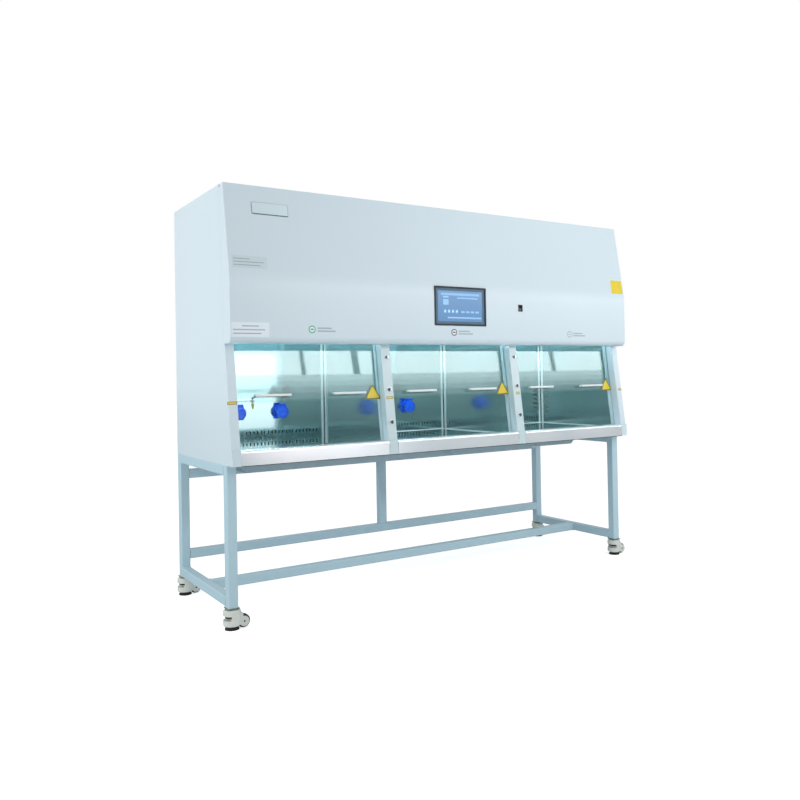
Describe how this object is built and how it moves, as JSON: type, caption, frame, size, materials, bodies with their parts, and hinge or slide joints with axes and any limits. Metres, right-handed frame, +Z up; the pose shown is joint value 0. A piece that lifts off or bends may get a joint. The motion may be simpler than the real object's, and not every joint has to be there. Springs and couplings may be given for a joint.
{
  "type": "biosafety cabinet",
  "caption": "Wide biosafety cabinet with a bent hinged front cover, leaning sliding windows over slotted steel chambers, on a square tube stand with levelling castors.",
  "frame": {"origin": "bottom centre of the whole object's box, on the floor", "axes": "+X to the object's right as seen from the front, front facing -Y, +Z up"},
  "size_m": [2.472, 0.8184, 1.935],
  "materials": {
    "casing": "pale blue-white powder coat",
    "stand": "light blue-grey powder coat",
    "stainless": "finely brushed, near mirror",
    "aluminium": "satin",
    "filter_media": "pleated media in a plain frame",
    "frame_plastic": "satin dark",
    "rocker_plastic": "glossy black",
    "screen": "smooth screen glass",
    "window_glass": "clear toughened glass",
    "lamp_glass": "white tube and clips",
    "tap_chrome": "polished",
    "socket_plastic": "glossy vivid blue",
    "zinc": "zinc plated",
    "castor_shell": "light grey cast",
    "castor_rubber": "black",
    "dial_plastic": "knurled black"
  },
  "bodies": {
    "cabinet": {"left_side_panel": "casing", "right_side_panel": "casing", "back_panel": "casing", "top_panel": "casing", "base_pan": "casing", "exhaust_guards": "aluminium", "hepa_filters": "filter_media", "plenum_shelf": "aluminium", "blower_housings": "aluminium", "cover_hinges": "aluminium", "column_1": "casing", "column_2": "casing", "window_tracks": "aluminium", "armrests": "stainless", "intake_grilles": "stainless", "work_trays": "stainless", "back_walls": "stainless", "partitions": "stainless", "side_liners": "stainless", "diffusers": "aluminium", "lamps": "lamp_glass", "service_tap": "tap_chrome", "power_inlet": "frame_plastic", "socket_boxes": "socket_plastic", "stand_legs": "stand", "stand_rails": "stand", "castor_plates": "zinc"},
    "cover": {"front_cover": "casing", "control_frames": "frame_plastic", "screen_panel": "screen"},
    "rocker": {"power_rocker": "rocker_plastic"},
    "window_1": {"window_glass_1": "window_glass", "window_fittings_1": "aluminium"},
    "blower_1": {"blower_wheel_1": "aluminium"},
    "socket_flap_1": {"socket_lid_1": "socket_plastic"},
    "window_2": {"window_glass_2": "window_glass", "window_fittings_2": "aluminium"},
    "blower_2": {"blower_wheel_2": "aluminium"},
    "socket_flap_2": {"socket_lid_2": "socket_plastic"},
    "window_3": {"window_glass_3": "window_glass", "window_fittings_3": "aluminium"},
    "blower_3": {"blower_wheel_3": "aluminium"},
    "socket_flap_3": {"socket_lid_3": "socket_plastic"},
    "castor_1": {"castor_housing_1": "castor_shell"},
    "roller_1": {"castor_wheel_1": "castor_rubber"},
    "foot_1": {"levelling_foot_1": "castor_rubber"},
    "dial_1": {"foot_dial_1": "dial_plastic"},
    "castor_2": {"castor_housing_2": "castor_shell"},
    "roller_2": {"castor_wheel_2": "castor_rubber"},
    "foot_2": {"levelling_foot_2": "castor_rubber"},
    "dial_2": {"foot_dial_2": "dial_plastic"},
    "castor_3": {"castor_housing_3": "castor_shell"},
    "roller_3": {"castor_wheel_3": "castor_rubber"},
    "foot_3": {"levelling_foot_3": "castor_rubber"},
    "dial_3": {"foot_dial_3": "dial_plastic"},
    "castor_4": {"castor_housing_4": "castor_shell"},
    "roller_4": {"castor_wheel_4": "castor_rubber"},
    "foot_4": {"levelling_foot_4": "castor_rubber"},
    "dial_4": {"foot_dial_4": "dial_plastic"}
  },
  "joints": [
    {"name": "cover_hinge", "type": "hinge", "parent": "cabinet", "child": "cover", "pos_m": [-0.0205, -0.29325, 1.929], "axis": [-1, 0, 0], "range_deg": [0, 60]},
    {"name": "rocker_tilt", "type": "hinge", "parent": "cover", "child": "rocker", "pos_m": [0.3815, -0.39825, 1.433], "axis": [1, 0, 0], "range_deg": [-8, 0]},
    {"name": "window_slide_1", "type": "slide", "parent": "cabinet", "child": "window_1", "axis": [0, 0.134, 0.991], "range_m": [-0.1985, 0.25]},
    {"name": "blower_spin_1", "type": "hinge", "parent": "cabinet", "child": "blower_1", "pos_m": [-0.8205, -0.00825, 1.63822], "axis": [0, 1, 0], "continuous": true},
    {"name": "flap_hinge_1", "type": "hinge", "parent": "cabinet", "child": "socket_flap_1", "pos_m": [-0.9405, 0.25445, 0.947], "axis": [-1, 0, 0], "range_deg": [0, 110], "stiffness_Nm_per_rad": 0.02},
    {"name": "window_slide_2", "type": "slide", "parent": "cabinet", "child": "window_2", "axis": [0, 0.134, 0.991], "range_m": [-0.1985, 0.25]},
    {"name": "blower_spin_2", "type": "hinge", "parent": "cabinet", "child": "blower_2", "pos_m": [-0.0205, -0.00825, 1.63822], "axis": [0, 1, 0], "continuous": true},
    {"name": "flap_hinge_2", "type": "hinge", "parent": "cabinet", "child": "socket_flap_2", "pos_m": [-0.7055, 0.25445, 0.947], "axis": [-1, 0, 0], "range_deg": [0, 110], "stiffness_Nm_per_rad": 0.02},
    {"name": "window_slide_3", "type": "slide", "parent": "cabinet", "child": "window_3", "axis": [0, 0.134, 0.991], "range_m": [-0.1985, 0.25]},
    {"name": "blower_spin_3", "type": "hinge", "parent": "cabinet", "child": "blower_3", "pos_m": [0.7795, -0.00825, 1.63822], "axis": [0, 1, 0], "continuous": true},
    {"name": "flap_hinge_3", "type": "hinge", "parent": "cabinet", "child": "socket_flap_3", "pos_m": [0.0895, 0.25445, 0.947], "axis": [-1, 0, 0], "range_deg": [0, 110], "stiffness_Nm_per_rad": 0.02},
    {"name": "castor_swivel_1", "type": "hinge", "parent": "cabinet", "child": "castor_1", "pos_m": [-1.198, -0.30875, 0.086], "axis": [0, 0, 1], "continuous": true},
    {"name": "roller_spin_1", "type": "hinge", "parent": "castor_1", "child": "roller_1", "pos_m": [-1.148, -0.30875, 0.03], "axis": [0, 1, 0], "continuous": true},
    {"name": "dial_turn_1", "type": "hinge", "parent": "castor_1", "child": "dial_1", "pos_m": [-1.198, -0.30875, 0.057], "axis": [0, 0, 1], "range_deg": [0, 1728]},
    {"name": "foot_slide_1", "type": "slide", "parent": "castor_1", "child": "foot_1", "axis": [0, 0, -1], "range_m": [0, 0.012]},
    {"name": "castor_swivel_2", "type": "hinge", "parent": "cabinet", "child": "castor_2", "pos_m": [1.157, -0.30875, 0.086], "axis": [0, 0, 1], "continuous": true},
    {"name": "roller_spin_2", "type": "hinge", "parent": "castor_2", "child": "roller_2", "pos_m": [1.207, -0.30875, 0.03], "axis": [0, 1, 0], "continuous": true},
    {"name": "dial_turn_2", "type": "hinge", "parent": "castor_2", "child": "dial_2", "pos_m": [1.157, -0.30875, 0.057], "axis": [0, 0, 1], "range_deg": [0, 1728]},
    {"name": "foot_slide_2", "type": "slide", "parent": "castor_2", "child": "foot_2", "axis": [0, 0, -1], "range_m": [0, 0.012]},
    {"name": "castor_swivel_3", "type": "hinge", "parent": "cabinet", "child": "castor_3", "pos_m": [-1.198, 0.37125, 0.086], "axis": [0, 0, 1], "continuous": true},
    {"name": "roller_spin_3", "type": "hinge", "parent": "castor_3", "child": "roller_3", "pos_m": [-1.148, 0.37125, 0.03], "axis": [0, 1, 0], "continuous": true},
    {"name": "dial_turn_3", "type": "hinge", "parent": "castor_3", "child": "dial_3", "pos_m": [-1.198, 0.37125, 0.057], "axis": [0, 0, 1], "range_deg": [0, 1728]},
    {"name": "foot_slide_3", "type": "slide", "parent": "castor_3", "child": "foot_3", "axis": [0, 0, -1], "range_m": [0, 0.012]},
    {"name": "castor_swivel_4", "type": "hinge", "parent": "cabinet", "child": "castor_4", "pos_m": [1.157, 0.37125, 0.086], "axis": [0, 0, 1], "continuous": true},
    {"name": "roller_spin_4", "type": "hinge", "parent": "castor_4", "child": "roller_4", "pos_m": [1.207, 0.37125, 0.03], "axis": [0, 1, 0], "continuous": true},
    {"name": "dial_turn_4", "type": "hinge", "parent": "castor_4", "child": "dial_4", "pos_m": [1.157, 0.37125, 0.057], "axis": [0, 0, 1], "range_deg": [0, 1728]},
    {"name": "foot_slide_4", "type": "slide", "parent": "castor_4", "child": "foot_4", "axis": [0, 0, -1], "range_m": [0, 0.012]}
  ],
  "couplings": [
    {"joint": "dial_turn_1", "follows": "foot_slide_1", "rad_per_m": 2513.3},
    {"joint": "dial_turn_2", "follows": "foot_slide_2", "rad_per_m": 2513.3},
    {"joint": "dial_turn_3", "follows": "foot_slide_3", "rad_per_m": 2513.3},
    {"joint": "dial_turn_4", "follows": "foot_slide_4", "rad_per_m": 2513.3}
  ]
}
